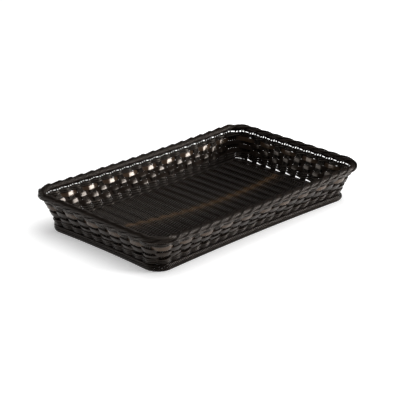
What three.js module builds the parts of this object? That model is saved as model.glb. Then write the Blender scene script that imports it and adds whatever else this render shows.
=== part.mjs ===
// Shallow rectangular woven fruit basket, built the way it is woven: flat stakes cross the floor and
// climb the walls, twined courses and flat weavers go round them, and a rolled rim and a foot border
// finish the two edges.
// Millimetres, +Z up, +X along the length. The origin is the middle of the footprint, on the table.
import * as THREE from "three";

// Overall sizes
const rimLength = 530;
const rimWidth = 330;
const height = 73;
const endFlare = 19; // how far the rim reaches out past the foot at each end
const sideFlare = 23; // the same along the sides
const rimCornerRadius = 43; // outer plan radius of the rim
const footCornerRadius = 32; // outer plan radius of the foot border
const rimSag = 3; // how far the middle of a long rim side hangs below its ends
const footBowSide = 5; // how far the middle of a long foot side draws inwards
const footBowEnd = 3; // the same on a short side

// Borders
const rimThickness = 16;
const rimHeight = 14;
const footHeight = 12.5;
const footHeightRight = 8; // at the right end, where it leaves an open row under the twined course
const footThickness = 10;
const footFlat = 6; // width of the flat underside that stands on the table
const footRounding = [ // of its outer edge: share of its reach outwards, share of its height
  [0.75, 1],
  [0.94, 0.85],
  [1, 0.6],
  [1, 0.35],
];

// Stakes
const crossStakes = 20; // the outermost pair climbs the corners
const endStakesPerSide = 8;
const stakeWidth = 13;
const stakeThickness = 2.6;
const stakeBend = 5; // how far from the corner line a stake starts to turn up
const endTuckShare = 0.07; // how far an end stake runs under the floor, as a share of the foot length
const cornerStakeTuck = 17; // the same for a corner stake, in millimetres

// Woven courses
const weaverRows = 4;
const weaverThickness = 1.4;
const twineThickness = 1.7;
const upperTwineHeight = 6.6;
const lowerTwineHeight = 10.4;
const openworkHeight = 3;

// Floor
const floorSkin = 2.4; // woven strands above and below a stake
const floorValley = 2; // depth of the furrow between two stakes
const brownBandWidth = 16;
const brownBandCentre = 8; // distance of the brown band from the middle of the floor

const gap = 0.3; // between pieces that touch
const strandRoom = 0.6; // beside a stake, for a strand that slants off it
const floorMargin = 1.2; // of weave beyond the outermost cross stakes

// Plan spacing of the stakes, relative to the pitch along a long side
const cornerShare = 1.19;
const endShare = 1.11;

const sideCells = crossStakes / 2 - 1;
const cornerCells = 2;
const endCells = endStakesPerSide / 2;
const quarterCells = sideCells + cornerCells + endCells;
const ringCells = 4 * quarterCells;

const footLength = rimLength - 2 * endFlare;
const footWidth = rimWidth - 2 * sideFlare;
const endStakeTuck = endTuckShare * footLength;

// Levels at the corners
const rimCentre = height - rimHeight / 2;
const rimBottom = height - rimHeight;
const endStakeLevel = gap + stakeThickness / 2;
const floorBottom = endStakeLevel + stakeThickness / 2 + gap;
const floorThickness = stakeThickness + 2 * gap + 2 * floorSkin;
const floorLevel = floorBottom + floorThickness / 2;
const floorTop = floorBottom + floorThickness;
const lowerTwineBottom = Math.max(footHeight, floorTop) + gap;
const lowerTwineTop = lowerTwineBottom + lowerTwineHeight;
const upperTwineTop = rimBottom - openworkHeight;
const upperTwineBottom = upperTwineTop - upperTwineHeight;

const levelShare = (z) => (z - floorLevel) / (rimCentre - floorLevel);
const mix = (a, b, t) => a + (b - a) * t;

// The wall's middle surface is a rounded rectangle that grows from the foot to the rim
const footInset = footThickness + gap + stakeThickness / 2;
const footOutline = {
  halfLength: footLength / 2 - footInset,
  halfWidth: footWidth / 2 - footInset,
  radius: footCornerRadius - footInset,
};
const rimOutline = {
  halfLength: (rimLength - rimThickness) / 2,
  halfWidth: (rimWidth - rimThickness) / 2,
  radius: rimCornerRadius - rimThickness / 2,
};

// Distance from the middle of a long side, as a share of the quarter outline, for a place in cells
function shareOfQuarter(cells) {
  const total = sideCells + cornerCells * cornerShare + endCells * endShare;
  const side = Math.min(cells, sideCells);
  const corner = Math.min(Math.max(cells - sideCells, 0), cornerCells);
  const end = Math.max(cells - sideCells - cornerCells, 0);
  return (side + corner * cornerShare + end * endShare) / total;
}

// Point and outward direction on the quarter from the middle of the front side to the right end
function quarterPoint(cells, level) {
  const halfLength = mix(footOutline.halfLength, rimOutline.halfLength, level);
  const halfWidth = mix(footOutline.halfWidth, rimOutline.halfWidth, level);
  const radius = mix(footOutline.radius, rimOutline.radius, level);
  const straight = halfLength - radius;
  const end = halfWidth - radius;
  const arc = (Math.PI / 2) * radius;
  const distance = shareOfQuarter(cells) * (straight + arc + end);
  const bowShare = 1 - level;
  let z = mix(floorLevel, rimCentre, level);
  if (distance < straight) {
    const middle = 1 - (distance / straight) ** 2;
    z -= rimSag * Math.max(level, 0) * middle;
    return { x: distance, y: -halfWidth + footBowSide * bowShare * middle, z, nx: 0, ny: -1 };
  }
  if (distance < straight + arc) {
    const turn = (distance - straight) / radius;
    const nx = Math.sin(turn);
    const ny = -Math.cos(turn);
    return { x: straight + radius * nx, y: -end + radius * ny, z, nx, ny };
  }
  const y = distance - straight - arc - end;
  const middle = 1 - (y / end) ** 2;
  return { x: halfLength - footBowEnd * bowShare * middle, y, z, nx: 1, ny: 0 };
}

// A place on the ring: cells run counter-clockwise from the middle of the front side
function ringPoint(cells, level) {
  const place = ((cells % ringCells) + ringCells) % ringCells;
  const quarter = Math.min(Math.floor(place / quarterCells), 3);
  const along = place - quarter * quarterCells;
  const mirrored = quarter % 2 === 1;
  const point = quarterPoint(mirrored ? quarterCells - along : along, level);
  if (mirrored) {
    point.y = -point.y;
    point.ny = -point.ny;
  }
  if (quarter > 1) {
    point.x = -point.x;
    point.y = -point.y;
    point.nx = -point.nx;
    point.ny = -point.ny;
  }
  return point;
}

// A point on the leaning wall, moved straight outwards
function wallPoint(cells, level, out = 0) {
  const point = ringPoint(cells, level);
  return new THREE.Vector3(point.x + point.nx * out, point.y + point.ny * out, point.z);
}

// The direction square to the leaning wall, pointing outwards
function wallFace(cells, level) {
  const point = ringPoint(cells, level);
  const foot = ringPoint(cells, 0);
  const rim = ringPoint(cells, 1);
  const run = (rim.x - foot.x) * point.nx + (rim.y - foot.y) * point.ny;
  const rise = rim.z - foot.z;
  return new THREE.Vector3(point.nx * rise, point.ny * rise, -run).normalize();
}

// Solid through a row of equal sections, closed on itself or capped at both ends
function sweep(sections, closed) {
  const size = sections[0].length;
  const positions = sections.flat().flatMap((point) => [point.x, point.y, point.z]);
  const index = [];
  const steps = closed ? sections.length : sections.length - 1;
  for (let step = 0; step < steps; step += 1) {
    const here = step * size;
    const next = ((step + 1) % sections.length) * size;
    for (let side = 0; side < size; side += 1) {
      const other = (side + 1) % size;
      index.push(here + side, here + other, next + other, here + side, next + other, next + side);
    }
  }
  if (!closed) {
    const last = (sections.length - 1) * size;
    for (let side = 1; side < size - 1; side += 1) {
      index.push(0, side + 1, side, last, last + side, last + side + 1);
    }
  }
  const geometry = new THREE.BufferGeometry();
  geometry.setAttribute("position", new THREE.Float32BufferAttribute(positions, 3));
  geometry.setIndex(index);
  geometry.computeVertexNormals();
  return geometry;
}

const darkStrand = new THREE.MeshStandardMaterial({ color: 0x2b2522, roughness: 0.42, metalness: 0 });
const brownStrand = new THREE.MeshStandardMaterial({ color: 0x5a4536, roughness: 0.45, metalness: 0 });

const basket = new THREE.Group();

function add(name, geometry, material = darkStrand) {
  const mesh = new THREE.Mesh(geometry, material);
  mesh.name = name;
  basket.add(mesh);
  return mesh;
}

// A strand that goes outside one stake and inside the next has two sections at each stake, a
// quarter of a cell either side of its middle. Round a corner it stands further out, because the
// straight stretch between those sections cuts across the curve and the flat stake sticks out of it.
function clearOut(cells, level, thickness) {
  const upright = wallFace(cells, level).setZ(0).length();
  const flatClear = (stakeThickness / 2 + gap) / upright + thickness / 2;
  const before = ringPoint(cells - 0.25, level);
  const after = ringPoint(cells + 0.25, level);
  const half = Math.hypot(after.x - before.x, after.y - before.y) / 2;
  const turn = Math.acos(Math.min(before.nx * after.nx + before.ny * after.ny, 1));
  const bulge = (half * turn) / 4 + ((stakeWidth / 2) ** 2 * turn) / (4 * half);
  const overhang = Math.max(stakeWidth / 2 - half, 0) / half;
  const inside = (flatClear + strandRoom) / (1 - overhang);
  return { outside: inside + bulge, inside };
}

// One strand of a woven course: bottom and top are wall levels, lift slants its stitches
function wovenRing(bottom, top, thickness, phase, lift = 0) {
  const sections = [];
  for (let cell = 0; cell < ringCells; cell += 1) {
    const outside = (cell + phase) % 2 === 0;
    const clear = clearOut(cell + 0.5, (bottom + top) / 2, thickness);
    const out = outside ? clear.outside : -clear.inside;
    for (const half of [-1, 1]) {
      const cells = cell + 0.5 + half * 0.25;
      const shift = lift * half * (outside ? 1 : -1);
      sections.push([
        wallPoint(cells, bottom + shift, out - thickness / 2),
        wallPoint(cells, top + shift, out - thickness / 2),
        wallPoint(cells, top + shift, out + thickness / 2),
        wallPoint(cells, bottom + shift, out + thickness / 2),
      ]);
    }
  }
  return sweep(sections, true);
}

// Two strands twine round each other: where they swap sides one is above and the other below
function addTwine(name, bottom, top) {
  const strandHeight = (top - bottom - gap) / 2;
  const middle = (bottom + top) / 2;
  const lift = (strandHeight + gap) / 2;
  const wallHeight = rimCentre - floorLevel;
  for (const [strand, phase] of [["a", 0], ["b", 1]]) {
    const low = levelShare(middle - strandHeight / 2);
    const high = levelShare(middle + strandHeight / 2);
    add(`${name}_${strand}`, wovenRing(low, high, twineThickness, phase, lift / wallHeight));
  }
}

addTwine("upper_twine", upperTwineBottom, upperTwineTop);
addTwine("lower_twine", lowerTwineBottom, lowerTwineTop);

const rowPitch = (upperTwineBottom - gap - lowerTwineTop) / weaverRows;
for (let row = 0; row < weaverRows; row += 1) {
  const bottom = lowerTwineTop + gap + row * rowPitch;
  const top = bottom + rowPitch - gap;
  const material = row === weaverRows - 1 ? brownStrand : darkStrand;
  const ring = wovenRing(levelShare(bottom), levelShare(top), weaverThickness, row + 1);
  add(`flat_weaver_${row + 1}`, ring, material);
}

// Places round the ring for a border: one a stake, and more round the corners
const borderPlaces = [];
for (let cell = 0; cell < ringCells; cell += 1) {
  const fromSide = Math.min(cell % (2 * quarterCells), 2 * quarterCells - 1 - (cell % (2 * quarterCells)));
  const corner = fromSide >= sideCells && fromSide < sideCells + cornerCells;
  const parts = corner ? 4 : 1;
  for (let part = 0; part < parts; part += 1) borderPlaces.push(cell + part / parts);
}

// Rolled rim: an oval roll over the stake tops
function rimBorder() {
  const sides = 8;
  const sections = [];
  for (const cell of borderPlaces) {
    const point = ringPoint(cell, 1);
    const section = [];
    for (let side = 0; side < sides; side += 1) {
      const angle = (2 * Math.PI * side) / sides;
      const out = (rimThickness / 2) * Math.cos(angle);
      const up = (rimHeight / 2) * Math.sin(angle);
      section.push(new THREE.Vector3(point.x + point.nx * out, point.y + point.ny * out, point.z + up));
    }
    sections.push(section.reverse());
  }
  return sweep(sections, true);
}
add("rim_border", rimBorder());

// Foot border: stands outside the stakes, with a flat underside. Its inner face follows their lean
function footBorder() {
  const cornerBulge = stakeWidth ** 2 / (8 * footOutline.radius);
  const inner = stakeThickness / 2 + gap + cornerBulge;
  const outer = footInset;
  const lean = (ringPoint(0, 0).y - ringPoint(0, 1).y) / (rimCentre - floorLevel);
  const flatMiddle = (inner + outer) / 2;
  const sections = [];
  for (const cell of borderPlaces) {
    const point = ringPoint(cell, 0);
    const crest = mix(footHeight, footHeightRight, Math.max(point.nx, 0) ** 2);
    const profile = [
      [flatMiddle - footFlat / 2, 0],
      [inner, crest / 2],
      [inner + (lean * crest) / 2 + gap, crest],
      ...footRounding.map(([reach, rise]) => [outer * reach, crest * rise]),
      [flatMiddle + footFlat / 2, 0],
    ];
    sections.push(
      profile.map(([out, z]) => new THREE.Vector3(point.x + point.nx * out, point.y + point.ny * out, z)),
    );
  }
  return sweep(sections, true);
}
add("foot_border", footBorder());

// Section of a stake: wide along its side direction, thin along its face direction
function stakeSection(centre, side, face) {
  const corner = (across, through) =>
    centre
      .clone()
      .addScaledVector(side, (across * stakeWidth) / 2)
      .addScaledVector(face, (through * stakeThickness) / 2);
  return [corner(-1, -1), corner(1, -1), corner(1, 1), corner(-1, 1)];
}

const stakeTop = 1 - (rimHeight / 2 + gap) / (rimCentre - floorLevel);
const bendMiddle = stakeBend * (1 - Math.SQRT1_2); // of the quarter circle between wall and floor

// Wall run of a stake, from its top down to a level
function wallRun(cells, bottomLevel) {
  return [stakeTop, bottomLevel].map((level) => {
    const centre = wallPoint(cells, level);
    const face = wallFace(cells, level);
    const point = ringPoint(cells, level);
    const side = new THREE.Vector3(-point.ny, point.nx, 0);
    return stakeSection(centre, side, face);
  });
}

// Cross stake: up the front wall, across the floor and up the back wall
function crossStake(cells) {
  const turn = levelShare(floorLevel + stakeBend);
  const front = wallRun(cells, turn);
  const foot = ringPoint(cells, 0);
  const lengthwise = new THREE.Vector3(1, 0, 0);
  const corner = new THREE.Vector3(foot.x, foot.y + bendMiddle, floorLevel + bendMiddle);
  front.push(stakeSection(corner, lengthwise, new THREE.Vector3(0, -1, -1).normalize()));
  const floorStart = new THREE.Vector3(foot.x, foot.y + stakeBend, floorLevel);
  front.push(stakeSection(floorStart, lengthwise, new THREE.Vector3(0, 0, -1)));
  const back = front.map((section) =>
    section.map((point) => new THREE.Vector3(point.x, -point.y, point.z)),
  );
  return sweep([...front, ...back.reverse()], false);
}
for (let stake = 0; stake < crossStakes; stake += 1) {
  const cells = stake - crossStakes / 2 + 0.5;
  add(`cross_stake_${String(stake + 1).padStart(2, "0")}`, crossStake(cells));
}

// End and corner stakes: down the wall, then tucked flat under the floor
function tuckedStake(cells, tuck) {
  const turnLevel = levelShare(endStakeLevel + stakeBend);
  const sections = wallRun(cells, turnLevel);
  const start = ringPoint(cells, turnLevel);
  const side = new THREE.Vector3(-start.ny, start.nx, 0);
  const out = new THREE.Vector3(start.nx, start.ny, 0);
  const at = (inwards, z) => new THREE.Vector3(start.x, start.y, z).addScaledVector(out, -inwards);
  const down = new THREE.Vector3(0, 0, -1);
  const slanted = out.clone().add(down).normalize();
  sections.push(stakeSection(at(bendMiddle, endStakeLevel + bendMiddle), side, slanted));
  sections.push(stakeSection(at(stakeBend, endStakeLevel), side, down));
  sections.push(stakeSection(at(tuck, endStakeLevel), side, down));
  return sweep(sections, false);
}
const firstEnd = sideCells + cornerCells + 0.5;
for (let stake = 0; stake < endStakesPerSide; stake += 1) {
  add(`end_stake_right_${stake + 1}`, tuckedStake(firstEnd + stake, endStakeTuck));
  add(`end_stake_left_${stake + 1}`, tuckedStake(firstEnd + stake + 2 * quarterCells, endStakeTuck));
}
const cornerStakes = {
  front_right: sideCells + 1.5,
  back_right: 2 * quarterCells - sideCells - 1.5,
  back_left: 2 * quarterCells + sideCells + 1.5,
  front_left: 4 * quarterCells - sideCells - 1.5,
};
for (const [place, cells] of Object.entries(cornerStakes)) {
  add(`corner_stake_${place}`, tuckedStake(cells, cornerStakeTuck));
}

// Floor weave: packed strands above and below the cross stakes, which run through it in tunnels
function floorShape() {
  const half = crossStakes / 2;
  const middles = [];
  for (let stake = 0; stake < crossStakes; stake += 1) middles.push(ringPoint(stake - half + 0.5, 0).x);
  const outer = middles[crossStakes - 1] + stakeWidth / 2 + floorMargin;
  const crown = floorThickness / 2;
  const upper = [];
  for (let stake = 0; stake < crossStakes; stake += 1) {
    const start = stake === 0 ? -outer : (middles[stake - 1] + middles[stake]) / 2;
    upper.push([start, crown - floorValley], [middles[stake], crown]);
  }
  upper.push([outer, crown - floorValley]);
  const outline = [
    ...upper.map(([x, z]) => [x, floorLevel + z]),
    ...upper.reverse().map(([x, z]) => [x, floorLevel - z]),
  ];
  const shape = new THREE.Shape(outline.map(([x, z]) => new THREE.Vector2(x, z)));
  const across = stakeWidth / 2 + gap;
  const tall = stakeThickness / 2 + gap;
  const arch = tall + gap; // a tunnel is a little taller in its middle
  for (const x of middles) {
    const corners = [
      [-across, -tall], [0, -arch], [across, -tall], [across, tall], [0, arch], [-across, tall],
    ];
    shape.holes.push(new THREE.Path(corners.map(([cx, z]) => new THREE.Vector2(x + cx, floorLevel + z))));
  }
  return shape;
}
const floorHalf = footOutline.halfWidth - footBowSide - stakeBend - gap;
const brownStart = brownBandCentre - brownBandWidth / 2;
const brownEnd = brownBandCentre + brownBandWidth / 2;
const floorPanels = [
  ["floor_weave_front", -floorHalf, brownStart - gap / 2, darkStrand],
  ["floor_weave_band", brownStart + gap / 2, brownEnd - gap / 2, brownStrand],
  ["floor_weave_back", brownEnd + gap / 2, floorHalf, darkStrand],
];
for (const [name, start, end, material] of floorPanels) {
  const solid = new THREE.ExtrudeGeometry(floorShape(), { depth: end - start, bevelEnabled: false });
  const panel = add(name, solid, material);
  panel.rotation.x = Math.PI / 2;
  panel.position.y = end;
}

export default basket;
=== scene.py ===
import math
import bpy
import numpy as np
from mathutils import Matrix, Vector


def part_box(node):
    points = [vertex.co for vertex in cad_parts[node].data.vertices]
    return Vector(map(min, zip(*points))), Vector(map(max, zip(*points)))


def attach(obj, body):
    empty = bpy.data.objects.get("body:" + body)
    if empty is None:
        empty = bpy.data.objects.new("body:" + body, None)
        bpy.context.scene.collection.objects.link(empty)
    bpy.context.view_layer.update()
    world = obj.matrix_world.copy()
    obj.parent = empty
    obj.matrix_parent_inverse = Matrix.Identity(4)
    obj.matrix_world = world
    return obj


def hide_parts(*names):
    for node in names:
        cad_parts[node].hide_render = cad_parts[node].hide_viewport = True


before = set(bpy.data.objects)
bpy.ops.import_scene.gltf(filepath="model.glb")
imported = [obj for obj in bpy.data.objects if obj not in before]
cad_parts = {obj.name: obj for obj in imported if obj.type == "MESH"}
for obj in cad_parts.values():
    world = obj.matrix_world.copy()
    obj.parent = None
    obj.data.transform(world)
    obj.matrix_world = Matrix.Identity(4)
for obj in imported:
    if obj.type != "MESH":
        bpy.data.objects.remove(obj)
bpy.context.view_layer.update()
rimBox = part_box("rim_border")
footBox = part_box("foot_border")
print("frame loaded with", len(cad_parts), "nodes")

# The wall's middle surface, in metres. A cell is the room of one stake, counted counter-clockwise
# from the middle of the front side.
wall = {
    "rimThickness": 0.016,
    "rimHeight": 0.014,
    "rimRadius": 0.035,
    "rimSag": 0.003,
    "footInset": 0.0116,
    "footRadius": 0.0204,
    "footBowSide": 0.005,
    "footBowEnd": 0.003,
    "floorLevel": 0.0072,
    "sideCells": 9,
    "cornerCells": 2,
    "endCells": 4,
    "cornerShare": 1.19,
    "endShare": 1.11,
}
wall["quarterCells"] = wall["sideCells"] + wall["cornerCells"] + wall["endCells"]
wall["ringCells"] = 4 * wall["quarterCells"]
wall["rimCentre"] = rimBox[1].z - wall["rimHeight"] / 2
rimHalf = (rimBox[1].x - wall["rimThickness"] / 2, rimBox[1].y - wall["rimThickness"] / 2)
footHalf = (footBox[1].x - wall["footInset"], footBox[1].y - wall["footInset"])
dice = np.random.default_rng(11)


def mix(a, b, t):
    return a + (b - a) * t


def ease(t):
    t = np.clip(t, 0, 1)
    return t * t * (3 - 2 * t)


def levelOf(z):
    return (z - wall["floorLevel"]) / (wall["rimCentre"] - wall["floorLevel"])


def ringAt(cells, z):
    # points and outward directions on the wall's middle surface
    cells, z = np.broadcast_arrays(np.asarray(cells, float), np.asarray(z, float))
    level = levelOf(z)
    place = cells % wall["ringCells"]
    quarter = np.minimum(place // wall["quarterCells"], 3)
    along = place - quarter * wall["quarterCells"]
    mirrored = quarter % 2 == 1
    along = np.where(mirrored, wall["quarterCells"] - along, along)
    halfLength = mix(footHalf[0], rimHalf[0], level)
    halfWidth = mix(footHalf[1], rimHalf[1], level)
    radius = mix(wall["footRadius"], wall["rimRadius"], level)
    straight, end = halfLength - radius, halfWidth - radius
    arc = radius * math.pi / 2
    side = np.minimum(along, wall["sideCells"])
    corner = np.clip(along - wall["sideCells"], 0, wall["cornerCells"])
    last = np.maximum(along - wall["sideCells"] - wall["cornerCells"], 0)
    total = wall["sideCells"]
    total = total + wall["cornerCells"] * wall["cornerShare"] + wall["endCells"] * wall["endShare"]
    share = (side + corner * wall["cornerShare"] + last * wall["endShare"]) / total
    distance = share * (straight + arc + end)
    turn = np.clip((distance - straight) / radius, 0, math.pi / 2)
    onEnd = np.maximum(distance - straight - arc, 0) - end
    sideMiddle = 1 - np.minimum(distance / straight, 1) ** 2
    endMiddle = np.where(distance > straight + arc, 1 - (onEnd / end) ** 2, 0)
    nx, ny = np.sin(turn), -np.cos(turn)
    x = np.where(distance < straight, distance, straight + radius * nx)
    x = x - wall["footBowEnd"] * (1 - level) * endMiddle
    y = np.where(distance > straight + arc, onEnd, -end + radius * ny)
    y = y + wall["footBowSide"] * (1 - level) * sideMiddle
    height = z - wall["rimSag"] * np.maximum(level, 0) * sideMiddle
    flipY = np.where(mirrored, -1, 1)
    turned = np.where(quarter > 1, -1, 1)
    points = np.stack([x * turned, y * flipY * turned, height], -1)
    out = np.stack([nx * turned, ny * flipY * turned, np.zeros_like(nx)], -1)
    return points, out


def wallAt(cells, z, out=0.0):
    points, outward = ringAt(cells, z)
    return points + outward * np.asarray(out, float)[..., None]


def wallFace(cells, z):
    # direction square to the leaning wall, pointing outwards
    foot, outward = ringAt(cells, wall["floorLevel"])
    rim, _ = ringAt(cells, wall["rimCentre"])
    run = ((rim - foot) * outward).sum(-1)
    rise = rim[..., 2] - foot[..., 2]
    face = outward * rise[..., None]
    face[..., 2] = -run
    return face / np.linalg.norm(face, axis=-1)[..., None]


class Wire:
    # a node's socket that can be used in sums
    def __init__(self, board, socket):
        self.board, self.socket = board, socket

    def sum(self, operation, first, second):
        return self.board.node("ShaderNodeMath", {"operation": operation}, {0: first, 1: second})

    def __add__(self, other):
        return self.sum("ADD", self, other)

    def __radd__(self, other):
        return self.sum("ADD", other, self)

    def __sub__(self, other):
        return self.sum("SUBTRACT", self, other)

    def __rsub__(self, other):
        return self.sum("SUBTRACT", other, self)

    def __mul__(self, other):
        return self.sum("MULTIPLY", self, other)

    def __rmul__(self, other):
        return self.sum("MULTIPLY", other, self)

    def __pow__(self, other):
        return self.sum("POWER", self, other)


class Board:
    # one node tree, with one way to add any node
    def __init__(self, tree):
        self.tree = tree

    def node(self, kind, settings=None, sockets=None, out=0):
        made = self.tree.nodes.new(kind)
        for name, value in (settings or {}).items():
            setattr(made, name, value)
        for name, value in (sockets or {}).items():
            if isinstance(value, Wire):
                self.tree.links.new(value.socket, made.inputs[name])
            else:
                made.inputs[name].default_value = value
        outputs = [socket for socket in made.outputs if socket.enabled]
        return Wire(self, outputs[out] if outputs else None)

    def attribute(self, name):
        return self.node("ShaderNodeAttribute", {"attribute_name": name}, out=2)

    def mixColour(self, amount, first, second):
        return self.node("ShaderNodeMix", {"data_type": "RGBA"}, {0: amount, 6: first, 7: second})


# Finishes of the woven polymer strands, by the record's slots
finishes = {
    "stake": {
        "dark": (0.0078, 0.0053, 0.0040), "brown": (0.028, 0.017, 0.011),
        "brownShare": 0.35, "rough": 0.25, "specular": 0.17},
    "twine": {
        "dark": (0.0076, 0.0053, 0.0041), "brown": (0.028, 0.0175, 0.0115),
        "brownShare": 0.30, "rough": 0.23, "specular": 0.20},
    "weaver_dark": {
        "dark": (0.0115, 0.0080, 0.0062), "brown": (0.041, 0.0265, 0.018),
        "brownShare": 0.45, "rough": 0.17, "specular": 0.21},
    "weaver_brown": {
        "dark": (0.042, 0.026, 0.0165), "brown": (0.130, 0.082, 0.051),
        "brownShare": 0.75, "rough": 0.15, "specular": 0.36},
    "floor_dark": {
        "dark": (0.0048, 0.0034, 0.0027), "brown": (0.050, 0.031, 0.017),
        "brownShare": 0.08, "rough": 0.30, "specular": 0.14},
    "floor_brown": {
        "dark": (0.0068, 0.0047, 0.0034), "brown": (0.090, 0.053, 0.027),
        "brownShare": 0.30, "rough": 0.30, "specular": 0.16},
    "border": {
        "dark": (0.0078, 0.0054, 0.0042), "brown": (0.031, 0.020, 0.014),
        "brownShare": 0.35, "rough": 0.21, "specular": 0.15},
}
sheen = {
    "roughnessSpread": 0.12,
    "roughnessGrain": 0.10,
    "tint": (1.0, 0.86, 0.74, 1.0),
    "coat": 0.04,
    "coatRoughness": 0.12,
    "bump": 0.00025,
    "bumpStrength": 0.6,
    "streakHeight": 0.7,
    "fineHeight": 0.3,
}
# noise along and around a strand: scale along, scale around, seed, detail
grains = {
    "patches": (22.0, 0.6, 3.0, 3.0),
    "streaks": (60.0, 16.0, 11.0, 5.0),
    "fine": (240.0, 44.0, 23.0, 2.0),
    "strandStep": 40,
}
markings = {
    "patchWeight": 0.55,
    "streakWeight": 0.3,
    "tintWeight": 0.3,
    "brownFrom": 0.74,
    "brownTo": 0.92,
    "brownShift": 0.25,
    "brownLeast": 0.25,
    "paleScale": 2.3,
    "paleLift": 0.012,
    "paleFrom": 0.60,
    "paleTo": 0.78,
    "paleLeast": 0.10,
    "paleWarm": 0.55,
    "soil": 0.35,
}


def strandFinish(slot):
    look = finishes[slot]
    material = bpy.data.materials.new("woven_" + slot)
    material.use_nodes = True
    material.node_tree.nodes.clear()
    board = Board(material.node_tree)
    along = board.attribute("along")
    around = board.attribute("around")
    tint = board.attribute("tint")
    warm = board.attribute("warm")

    def grain(name):
        alongScale, aroundScale, seed, detail = grains[name]
        place = board.node("ShaderNodeCombineXYZ", None, {
            "X": along * alongScale, "Y": around * aroundScale, "Z": tint * grains["strandStep"] + seed})
        return board.node("ShaderNodeTexNoise", None, {"Vector": place, "Scale": 1.0, "Detail": detail})

    def softStep(value, start, end):
        return board.node("ShaderNodeMapRange", {"interpolation_type": "SMOOTHSTEP"}, {
            0: value, 1: start, 2: end})

    patches = grain("patches")
    streaks = grain("streaks")
    fine = grain("fine")
    share = look["brownShare"]
    shift = share * markings["brownShift"]
    blend = patches * markings["patchWeight"] + streaks * markings["streakWeight"]
    blend = blend + tint * markings["tintWeight"]
    brownMask = softStep(blend, markings["brownFrom"] - shift, markings["brownTo"] - shift)
    least = markings["brownLeast"]
    amount = brownMask * (least + (1 - least) * share) + warm
    amount = board.node("ShaderNodeClamp", None, {0: amount})
    colour = board.mixColour(amount, look["dark"] + (1.0,), look["brown"] + (1.0,))
    pale = tuple(min(c * markings["paleScale"] + markings["paleLift"], 1.0) for c in look["brown"]) + (1.0,)
    paleMask = softStep(streaks, markings["paleFrom"], markings["paleTo"])
    colour = board.mixColour(paleMask * (markings["paleLeast"] + markings["paleWarm"] * warm), colour, pale)
    worn = board.mixColour(fine * markings["soil"], colour, (0.0, 0.0, 0.0, 1.0))
    rough = look["rough"] + (streaks - 0.5) * sheen["roughnessSpread"]
    rough = rough + (fine - 0.5) * sheen["roughnessGrain"]
    height = streaks * sheen["streakHeight"] + fine * sheen["fineHeight"]
    bump = board.node("ShaderNodeBump", None, {
        "Strength": sheen["bumpStrength"], "Distance": sheen["bump"], "Height": height})
    shader = board.node("ShaderNodeBsdfPrincipled", None, {
        "Base Color": worn, "Roughness": rough, "Normal": bump, "IOR": 1.5,
        "Specular IOR Level": look["specular"], "Specular Tint": sheen["tint"],
        "Coat Weight": sheen["coat"], "Coat Roughness": sheen["coatRoughness"]})
    board.node("ShaderNodeOutputMaterial", None, {"Surface": shader})
    return material


def makeSweepTree():
    # sweeps a flattened, ribbed section along the edges of a mesh of strand lines
    tree = bpy.data.node_groups.new("strandSweep", "GeometryNodeTree")
    face = tree.interface
    face.new_socket("Lines", in_out="INPUT", socket_type="NodeSocketGeometry")
    for name, kind, start in (
        ("Width", "NodeSocketFloat", 0.003),
        ("Thickness", "NodeSocketFloat", 0.0025),
        ("Sides", "NodeSocketInt", 8),
        ("Flatness", "NodeSocketFloat", 1.0),
        ("Ribs", "NodeSocketFloat", 0.0),
        ("Rib depth", "NodeSocketFloat", 0.0),
    ):
        face.new_socket(name, in_out="INPUT", socket_type=kind).default_value = start
    face.new_socket("Finish", in_out="INPUT", socket_type="NodeSocketMaterial")
    face.new_socket("Strands", in_out="OUTPUT", socket_type="NodeSocketGeometry")
    board = Board(tree)
    entry = tree.nodes.new("NodeGroupInput")
    given = {socket.name: Wire(board, socket) for socket in entry.outputs if socket.name}

    def named(name, kind):
        return board.node("GeometryNodeInputNamedAttribute", {"data_type": kind}, {"Name": name})

    curve = board.node("GeometryNodeMeshToCurve", None, {0: given["Lines"]})
    curve = board.node("GeometryNodeSetCurveNormal", {"mode": "FREE"}, {
        "Curve": curve, "Normal": named("face", "FLOAT_VECTOR")})
    circle = board.node("GeometryNodeCurvePrimitiveCircle", None, {
        "Resolution": given["Sides"], "Radius": 1.0})
    turn = board.node("GeometryNodeSplineParameter")
    angle = turn * (2 * math.pi)
    cosine = board.node("ShaderNodeMath", {"operation": "COSINE"}, {0: angle})
    sine = board.node("ShaderNodeMath", {"operation": "SINE"}, {0: angle})
    sign = board.node("ShaderNodeMath", {"operation": "SIGN"}, {0: cosine})
    size = board.node("ShaderNodeMath", {"operation": "ABSOLUTE"}, {0: cosine})
    wave = board.node("ShaderNodeMath", {"operation": "COSINE"}, {0: sine * given["Ribs"] * math.pi})
    through = sign * (size ** given["Flatness"]) * (1 + given["Rib depth"] * wave)
    place = board.node("ShaderNodeCombineXYZ", None, {
        "X": through * given["Thickness"] * 0.5, "Y": sine * given["Width"] * 0.5})
    section = board.node("GeometryNodeSetPosition", None, {"Geometry": circle, "Position": place})
    section = board.node("GeometryNodeStoreNamedAttribute", {"data_type": "FLOAT", "domain": "POINT"}, {
        "Geometry": section, "Name": "around", "Value": turn})
    tube = board.node("GeometryNodeCurveToMesh", None, {
        "Curve": curve, "Profile Curve": section, "Scale": named("thick", "FLOAT"), "Fill Caps": True})
    tube = board.node("GeometryNodeSetShadeSmooth", None, {0: tube, "Shade Smooth": True})
    tube = board.node("GeometryNodeRealizeInstances", None, {0: tube})
    tube = board.node("GeometryNodeSetMaterial", None, {0: tube, "Material": given["Finish"]})
    leave = tree.nodes.new("NodeGroupOutput")
    tree.links.new(tube.socket, leave.inputs[0])
    return tree


sweepTree = makeSweepTree()
finishOf = {slot: strandFinish(slot) for slot in finishes}
print("finishes and sweep tree made")


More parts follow.
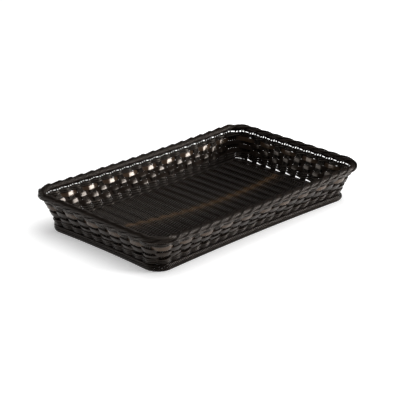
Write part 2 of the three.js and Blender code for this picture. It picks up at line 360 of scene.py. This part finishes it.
def strand(points, faces, thick=1.0, closed=True, warm=0.0):
    count = len(points)
    return {
        "points": points,
        "faces": np.broadcast_to(faces, points.shape),
        "thick": np.broadcast_to(thick, (count,)),
        "warm": np.broadcast_to(warm, (count,)),
        "closed": closed,
    }


def weavePiece(node, slot, strands, section):
    # draws the strand lines as one mesh of edges, sweeps them and lets the piece stand for its node
    points, edges, first = [], [], 0
    stored = {"face": [], "thick": [], "warm": [], "along": [], "tint": []}
    for line in strands:
        count = len(line["points"])
        steps = np.linalg.norm(np.diff(line["points"], axis=0), axis=1)
        points.append(line["points"])
        stored["face"].append(line["faces"])
        stored["thick"].append(line["thick"])
        stored["warm"].append(line["warm"])
        stored["along"].append(np.concatenate([[0], np.cumsum(steps)]))
        stored["tint"].append(np.full(count, dice.random()))
        index = np.arange(count)
        pairs = np.stack([index, (index + 1) % count], 1) + first
        edges.append(pairs if line["closed"] else pairs[:-1])
        first += count
    mesh = bpy.data.meshes.new(node + "_lines")
    mesh.from_pydata(np.concatenate(points).tolist(), np.concatenate(edges).tolist(), [])
    for name, values in stored.items():
        vector = name == "face"
        attribute = mesh.attributes.new(name, "FLOAT_VECTOR" if vector else "FLOAT", "POINT")
        flat = np.concatenate(values).astype(np.float32).ravel()
        attribute.data.foreach_set("vector" if vector else "value", flat)
    piece = bpy.data.objects.new(node + "_strands", mesh)
    bpy.context.scene.collection.objects.link(piece)
    modifier = piece.modifiers.new("sweep", "NODES")
    modifier.node_group = sweepTree
    values = {**section, "Finish": finishOf[slot]}
    for socket in sweepTree.interface.items_tree:
        if socket.name in values:
            modifier[socket.identifier] = values[socket.name]
    graph = bpy.context.evaluated_depsgraph_get()
    plain = bpy.data.meshes.new_from_object(piece.evaluated_get(graph))
    piece.modifiers.clear()
    piece.data = plain
    bpy.data.meshes.remove(mesh)
    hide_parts(node)
    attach(piece, "root")
    return piece


# Flat weavers: ribbed ribbons that pass inside one stake and outside the next
weaver = {
    "rows": 4,
    "bottom": 0.0240,
    "top": 0.0505,
    "swing": 0.0023,
    "pointsPerCell": 10,
    "brownRow": 3,
    "rowTilt": (-0.05, -0.01, 0.03, 0.10),
    "stitchTilt": 0.05,
    "flatStitch": 0.5,
    "warmSpread": 0.10,
    "warmMost": 0.3,
    "crossing": 0.98,
    "section": {
        "Width": 0.0087, "Thickness": 0.0013, "Sides": 24, "Flatness": 0.25,
        "Ribs": 4.0, "Rib depth": 0.05},
}


def ringCellsAt(perCell):
    return np.arange(wall["ringCells"] * perCell) / perCell


def loose(cells):
    # one random amount a stitch, eased from each to the next
    amounts = dice.normal(0, 1, wall["ringCells"])
    place = cells - 0.5
    here = np.floor(place).astype(int) % wall["ringCells"]
    after = (here + 1) % wall["ringCells"]
    return mix(amounts[here], amounts[after], ease(place - np.floor(place)))


def tiltFaces(faces, angle):
    # turns the faces upwards about the direction that the strand runs in
    flat = np.linalg.norm(faces[:, :2], axis=1)[:, None]
    up = np.concatenate([-faces[:, :2] / flat * faces[:, 2:], flat], 1)
    angle = np.broadcast_to(angle, (len(faces),))[:, None]
    return faces * np.cos(angle) + up * np.sin(angle)


def makeWeavers():
    cells = ringCellsAt(weaver["pointsPerCell"])
    pitch = (weaver["top"] - weaver["bottom"]) / weaver["rows"]
    for row in range(weaver["rows"]):
        middle = weaver["bottom"] + (row + 0.5) * pitch
        wave = np.cos(math.pi * (cells - 0.5 + row))
        narrow = mix(weaver["crossing"], 1, wave ** 2)
        wave = wave * (1 + weaver["flatStitch"] * (1 - wave ** 2))
        points = wallAt(cells, middle, -weaver["swing"] * wave)
        tilt = weaver["rowTilt"][row] + weaver["stitchTilt"] * loose(cells)
        faces = tiltFaces(wallFace(cells, middle), tilt)
        slot = "weaver_brown" if row == weaver["brownRow"] else "weaver_dark"
        warm = np.clip(weaver["warmSpread"] * loose(cells), 0, weaver["warmMost"])
        line = strand(points, faces, narrow, warm=warm)
        weavePiece(f"flat_weaver_{row + 1}", slot, [line], weaver["section"])


makeWeavers()
print("flat weavers woven")

# Twined courses: two plies that change sides between stakes, one passing over the other
twine = {
    "upper": (0.0527, 0.0560),
    "lower": (0.0108, 0.0146, 0.0184, 0.0223),
    "bulge": 0.0008,
    "bulgeLowest": -0.0009,
    "dipRight": 0.0038,
    "swing": 0.0028,
    "lift": 0.0010,
    "crossing": 0.84,
    "pointsPerCell": 10,
    "section": {"Width": 0.0039, "Thickness": 0.0024, "Sides": 8, "Flatness": 0.85},
}


def makeTwines():
    cells = ringCellsAt(twine["pointsPerCell"])
    turn = math.pi * (cells - 0.5)
    for place in ("upper", "lower"):
        for ply, side in (("a", 1), ("b", -1)):
            lines = []
            for middle in twine[place]:
                z = middle + side * twine["lift"] * np.sin(turn)
                bulge = twine["bulge"] if place == "lower" else 0
                if middle == twine["lower"][0]:
                    z = z - twine["dipRight"] * np.maximum(ringAt(cells, z)[1][:, 0], 0) ** 2
                    bulge = twine["bulgeLowest"]
                points = wallAt(cells, z, bulge + side * twine["swing"] * np.cos(turn))
                thick = mix(twine["crossing"], 1, np.cos(turn) ** 2)
                lines.append(strand(points, wallFace(cells, z), thick))
            weavePiece(f"{place}_twine_{ply}", "twine", lines, twine["section"])


makeTwines()
print("twined courses woven")

# Stakes: four thin strands side by side that part above the upper twined courses
stake = {
    "strandGap": 0.133,
    "topGap": 0.085,
    "topStep": 0.21,
    "partFrom": 0.052,
    "partTo": 0.060,
    "top": 0.0635,
    "bend": 0.005,
    "endLevel": 0.0016,
    "endTuck": 0.0344,
    "cornerTuck": 0.017,
    "crossCount": 20,
    "endCount": 8,
    "shifts": (-1.5, -0.5, 0.5, 1.5),
    "upperPoints": 9,
    "lowerPoints": 6,
    "bendPoints": 5,
    "section": {"Width": 0.0032, "Thickness": 0.0024, "Sides": 8, "Flatness": 0.9},
}


def stakeWall(cells, shift, bottom):
    upper = np.linspace(stake["top"], stake["partFrom"], stake["upperPoints"])
    lower = np.linspace(stake["partFrom"], bottom, stake["lowerPoints"])
    z = np.concatenate([upper, lower[1:]])
    part = ease((z - stake["partFrom"]) / (stake["partTo"] - stake["partFrom"]))
    parted = np.sign(shift) * (stake["topGap"] + stake["topStep"] * abs(shift))
    places = cells + mix(stake["strandGap"] * shift, parted, part)
    return wallAt(places, z), wallFace(places, z)


def bendPoints(start, inward, low):
    # quarter circle from the wall's foot to a flat run at height low
    angles = np.linspace(0, math.pi / 2, stake["bendPoints"])[1:]
    bend = start[2] - low
    run = stake["bend"] * (1 - np.cos(angles))
    drop = bend * np.sin(angles)
    points = start + inward * run[:, None]
    points[:, 2] = start[2] - drop
    faces = -inward * np.cos(angles)[:, None]
    faces[:, 2] = -np.sin(angles)
    return points, faces


def crossStake(cells):
    lines = []
    for shift in stake["shifts"]:
        points, faces = stakeWall(cells, shift, wall["floorLevel"] + stake["bend"])
        inward = np.array([0.0, 1.0, 0.0])
        bendRun, bendFace = bendPoints(points[-1], inward, wall["floorLevel"])
        middle = bendRun[-1] * np.array([1, 0, 1])
        quarter = (bendRun[-1] + middle) / 2
        half = np.concatenate([points, bendRun, [quarter, middle]])
        halfFace = np.concatenate([faces, bendFace, [[0, 0, -1], [0, 0, -1]]])
        flip = np.array([1, -1, 1])
        whole = np.concatenate([half, (half * flip)[-2::-1]])
        wholeFace = np.concatenate([halfFace, (halfFace * flip)[-2::-1]])
        lines.append(strand(whole, wholeFace, closed=False))
    return lines


def tuckedStake(cells, tuck):
    lines = []
    for shift in stake["shifts"]:
        points, faces = stakeWall(cells, shift, stake["endLevel"] + stake["bend"])
        _, outward = ringAt(cells, wall["floorLevel"])
        inward = -outward
        bendRun, bendFace = bendPoints(points[-1], inward, stake["endLevel"])
        last = bendRun[-1] + inward * (tuck - stake["bend"])
        run = np.concatenate([points, bendRun, [last]])
        runFace = np.concatenate([faces, bendFace, [[0, 0, -1]]])
        lines.append(strand(run, runFace, closed=False))
    return lines


def makeStakes():
    for number in range(stake["crossCount"]):
        cells = number - stake["crossCount"] / 2 + 0.5
        weavePiece(f"cross_stake_{number + 1:02d}", "stake", crossStake(cells), stake["section"])
    firstEnd = wall["sideCells"] + wall["cornerCells"] + 0.5
    half = 2 * wall["quarterCells"]
    for number in range(stake["endCount"]):
        right, left = firstEnd + number, firstEnd + number + half
        for side, cells in (("right", right), ("left", left)):
            lines = tuckedStake(cells, stake["endTuck"])
            weavePiece(f"end_stake_{side}_{number + 1}", "stake", lines, stake["section"])
    cornerCell = wall["sideCells"] + 1.5
    corners = {"front_right": cornerCell, "back_right": half - cornerCell,
               "back_left": half + cornerCell, "front_left": 2 * half - cornerCell}
    for place, cells in corners.items():
        lines = tuckedStake(cells, stake["cornerTuck"])
        weavePiece(f"corner_stake_{place}", "stake", lines, stake["section"])


makeStakes()
print("stakes set")

# Rolled rim: groups of four strands wound over a core like shingles
rim = {
    "groups": 3,
    "perGroup": 4,
    "cellsPerTurn": 3,
    "pointsPerCell": 10,
    "strandWidth": 0.0029,
    "strandThickness": 0.0027,
    "shingle": 0.40,
    "coreShare": 0.62,
    "edgeAngle": -0.62,
    "edgeThick": 0.85,
    "edgeWarm": 0.25,
    "strandWarm": 0.12,
    "wobble": 0.012,
    "wobbleTurns": 1.7,
    "wobbleStep": 2.1,
    "sides": 8,
}


coreStep = 4  # a core has one point for this many of its strands' points


def roundSection(roll):
    return {
        "Width": roll["strandWidth"], "Thickness": roll["strandThickness"],
        "Sides": roll["sides"], "Flatness": 1.0}


def rollPoints(cells, centreZ, centreOut, angle, reachOut, reachUp):
    points, outward = ringAt(cells, centreZ)
    out = centreOut + reachOut * np.cos(angle)
    points = points + outward * out[:, None]
    points[:, 2] += reachUp * np.sin(angle)
    faces = outward * (np.cos(angle) / reachOut)[:, None]
    faces[:, 2] = np.sin(angle) / reachUp
    return points, faces / np.linalg.norm(faces, axis=1)[:, None]


def makeRim():
    cells = ringCellsAt(rim["pointsPerCell"])
    reachOut = (wall["rimThickness"] - rim["strandThickness"]) / 2
    reachUp = (wall["rimHeight"] - rim["strandThickness"]) / 2
    lines = []
    count = rim["groups"] * rim["perGroup"]
    for number in range(count):
        inGroup = number % rim["perGroup"]
        angle = 2 * math.pi * (number / count + cells / rim["cellsPerTurn"])
        lower = 1 - rim["shingle"] * (1 - inGroup / (rim["perGroup"] - 1))
        wobble = 1 + rim["wobble"] * np.sin(angle * rim["wobbleTurns"] + number * rim["wobbleStep"])
        size = lower * wobble
        points, faces = rollPoints(cells, wall["rimCentre"], 0, angle, reachOut * size, reachUp * size)
        lines.append(strand(points, faces, warm=rim["strandWarm"] * dice.random()))
    angle = np.full(len(cells), rim["edgeAngle"])
    points, faces = rollPoints(cells, wall["rimCentre"], 0, angle, reachOut, reachUp)
    lines.append(strand(points, faces, rim["edgeThick"], warm=rim["edgeWarm"]))
    section = roundSection(rim)
    coreCells = cells[::coreStep]
    core = wallAt(coreCells, wall["rimCentre"])
    scale = 2 * (reachUp * rim["coreShare"]) / rim["strandThickness"]
    lines.append(strand(core, wallFace(coreCells, wall["rimCentre"]), scale))
    weavePiece("rim_border", "border", lines, section)


makeRim()
print("rim rolled")

# Foot border: strands wound diagonally, outside the stakes
foot = {
    "strands": 8,
    "cellsPerTurn": 2,
    "pointsPerCell": 10,
    "strandWidth": 0.0029,
    "strandThickness": 0.0027,
    "inner": 0.0026,
    "outer": 0.0108,
    "outerLeft": 0.0085,
    "crest": 0.0125,
    "crestRight": 0.008,
    "coreShare": 1.65,
    "strandWarm": 0.10,
    "sides": 7,
}


def makeFoot():
    cells = ringCellsAt(foot["pointsPerCell"])
    base, outward = ringAt(cells, wall["floorLevel"])
    crest = mix(foot["crest"], foot["crestRight"], np.maximum(outward[:, 0], 0) ** 2)
    outer = mix(foot["outer"], foot["outerLeft"], np.maximum(-outward[:, 0], 0) ** 2)
    centreOut = (foot["inner"] + outer) / 2
    lines = []
    for number in range(foot["strands"]):
        angle = 2 * math.pi * (number / foot["strands"] + cells / foot["cellsPerTurn"])
        thick = np.sqrt(crest / foot["crest"])
        reachOut = (outer - foot["inner"] - foot["strandThickness"] * thick) / 2
        reachUp = (crest - foot["strandThickness"] * thick) / 2
        points, faces = rollPoints(cells, wall["floorLevel"], centreOut, angle, reachOut, reachUp)
        points[:, 2] += crest / 2 - wall["floorLevel"]
        lines.append(strand(points, faces, thick, warm=foot["strandWarm"] * dice.random()))
    section = roundSection(foot)
    core = base + outward * centreOut[:, None]
    core[:, 2] = crest / 2
    scale = (foot["outerLeft"] - foot["inner"] - 2 * foot["strandThickness"]) / foot["strandThickness"]
    lines.append(strand(core[::coreStep], outward[::coreStep], scale * foot["coreShare"]))
    weavePiece("foot_border", "border", lines, section)


makeFoot()
print("foot border wound")

# Floor: twined rows across the stakes; the rows bow towards the left end, one of them brown
floorWeave = {
    "rowsFront": 25,
    "rowsBack": 22,
    "wallGap": 0.0042,
    "wallPoints": 200,
    "overEnd": 0.0130,
    "overEndRight": 0.0080,
    "swing": 0.0024,
    "lift": 0.00160,
    "bow": (0.0039, -0.090, 0.65),
    "bowLeft": -0.175,
    "usualPitch": 0.0051,
    "thickEase": 0.4,
    "rowWarm": 0.03,
    "edgeWarm": 0.10,
    "edgeFrom": 0.85,
    "crossing": 0.82,
    "pointsPerCell": 8,
    "section": {"Width": 0.0036, "Thickness": 0.0026, "Sides": 7, "Flatness": 1.0},
}
# how brown a row is, counted from the brown one, towards the back when above 0
browns = {-4: 0.10, -3: 0.28, -2: 0.12, -1: 0.30, 0: 0.85, 1: 0.70, 2: 0.30, 3: 0.06}


def makeFloor():
    half = stake["crossCount"] / 2
    stakes = np.arange(stake["crossCount"]) - half + 0.5
    stakeX = ringAt(stakes, wall["floorLevel"])[0][:, 0]
    ends = np.concatenate([[-half], stakes, [half]])
    left, right = stakeX[0] - floorWeave["overEnd"], stakeX[-1] + floorWeave["overEndRight"]
    endX = np.concatenate([[left], stakeX, [right]])
    cells = np.linspace(-half, half, stake["crossCount"] * floorWeave["pointsPerCell"] + 1)
    x = np.interp(cells, ends, endX)
    held = np.maximum(x, floorWeave["bowLeft"])
    start, tilt, curve = floorWeave["bow"]
    brownY = start + tilt * held + curve * held ** 2
    turn = math.pi * (cells + 0.5)
    quarter = np.linspace(0, wall["quarterCells"], floorWeave["wallPoints"])
    wallLine = ringAt(quarter, wall["floorLevel"])[0]
    edgeY = -np.interp(np.abs(x), wallLine[:, 0], wallLine[:, 1]) - floorWeave["wallGap"]
    panels = {"front": [], "band": [], "back": []}
    for row in range(-floorWeave["rowsFront"], floorWeave["rowsBack"] + 1):
        rows = floorWeave["rowsFront"] if row < 0 else floorWeave["rowsBack"]
        edge = math.copysign(1, row) * edgeY
        share = abs(row) / rows
        y = mix(brownY, edge, share)
        pitch = abs(edge - brownY) / rows
        spread = mix(pitch / floorWeave["usualPitch"], 1, floorWeave["thickEase"])
        place = "band" if abs(row) <= 1 else "front" if row < 0 else "back"
        for side in (1, -1):
            z = wall["floorLevel"] + side * floorWeave["swing"] * np.cos(turn)
            sway = side * floorWeave["lift"] * np.sin(turn) * spread
            points = np.stack([x, y + sway, z], 1)
            faces = np.array([0.0, 0.0, 1.0])
            thick = mix(floorWeave["crossing"], 1, np.cos(turn) ** 2) * spread
            edgeBrown = floorWeave["edgeWarm"] * dice.random() * (share > floorWeave["edgeFrom"])
            warm = browns.get(row, floorWeave["rowWarm"] * dice.random()) + edgeBrown
            panels[place].append(strand(points, faces, thick, False, warm))
    for place, lines in panels.items():
        slot = "floor_brown" if place == "band" else "floor_dark"
        weavePiece(f"floor_weave_{place}", slot, lines, floorWeave["section"])


makeFloor()
print("floor woven")

# Studio: pale floor, soft lights, camera
studio = {
    "floorSize": 8.0,
    "floorRoughness": 0.9,
    "floorColour": (0.92, 0.92, 0.92, 1.0),
    "floorGlow": 0.44,
    "world": 0.07,
    "keyPlace": (1.62, -1.76, 0.55),
    "keySize": (1.3, 0.6),
    "keyPower": 84.0,
    "fillPlace": (-1.55, 1.56, 0.50),
    "fillSize": (1.2, 0.6),
    "fillPower": 10.0,
    "topPlace": (0.3, 0.1, 2.3),
    "topSize": (2.6, 2.6),
    "topPower": 56.0,
}


def makeStudio():
    bpy.ops.mesh.primitive_plane_add(size=studio["floorSize"])
    ground = bpy.context.object
    ground.name = "studio_floor"
    material = bpy.data.materials.new("pale_floor")
    material.use_nodes = True
    shader = material.node_tree.nodes["Principled BSDF"]
    shader.inputs["Base Color"].default_value = studio["floorColour"]
    shader.inputs["Roughness"].default_value = studio["floorRoughness"]
    shader.inputs["Specular IOR Level"].default_value = 0.0
    shader.inputs["Emission Color"].default_value = studio["floorColour"]
    shader.inputs["Emission Strength"].default_value = studio["floorGlow"]
    ground.data.materials.append(material)
    bpy.context.scene.view_settings.view_transform = "Standard"
    world = bpy.data.worlds.new("studio")
    bpy.context.scene.world = world
    world.use_nodes = True
    background = world.node_tree.nodes["Background"]
    background.inputs["Color"].default_value = (1.0, 1.0, 1.0, 1.0)
    background.inputs["Strength"].default_value = studio["world"]
    for name in ("key", "fill", "top"):
        lamp = bpy.data.lights.new(name + "_light", "AREA")
        lamp.shape = "RECTANGLE"
        lamp.size, lamp.size_y = studio[name + "Size"]
        lamp.energy = studio[name + "Power"]
        holder = bpy.data.objects.new(name + "_light", lamp)
        place = Vector(studio[name + "Place"])
        turn = place.to_track_quat("Z", "Y").to_matrix().to_4x4()
        holder.matrix_world = Matrix.Translation(place) @ turn
        bpy.context.scene.collection.objects.link(holder)


makeStudio()

camera = {
    "azimuth": -45.34,
    "elevation": 21.87,
    "roll": 0.23,
    "distance": 2.6435,
    "aimRight": -0.00239,
    "aimUp": -0.01143,
    "aimHeight": 0.03665,
    "lens": 132.95,
    "sensor": 36.0,
    "farthest": 50.0,
}


def makeCamera():
    azimuth, elevation, roll = (math.radians(camera[key]) for key in ("azimuth", "elevation", "roll"))
    level = math.cos(elevation)
    back = Vector((math.sin(azimuth) * level, -math.cos(azimuth) * level, math.sin(elevation)))
    right = (-back).cross(Vector((0, 0, 1))).normalized()
    up = right.cross(-back)
    aim = Vector((0, 0, camera["aimHeight"])) + right * camera["aimRight"] + up * camera["aimUp"]
    turnedRight = right * math.cos(roll) + up * math.sin(roll)
    turnedUp = up * math.cos(roll) - right * math.sin(roll)
    data = bpy.data.cameras.new("camera")
    data.lens = camera["lens"]
    data.sensor_width = camera["sensor"]
    data.clip_end = camera["farthest"]
    holder = bpy.data.objects.new("camera", data)
    turn = Matrix((turnedRight, turnedUp, back)).transposed().to_4x4()
    holder.matrix_world = Matrix.Translation(aim + back * camera["distance"]) @ turn
    bpy.context.scene.collection.objects.link(holder)
    bpy.context.scene.camera = holder


makeCamera()
print("studio and camera set")
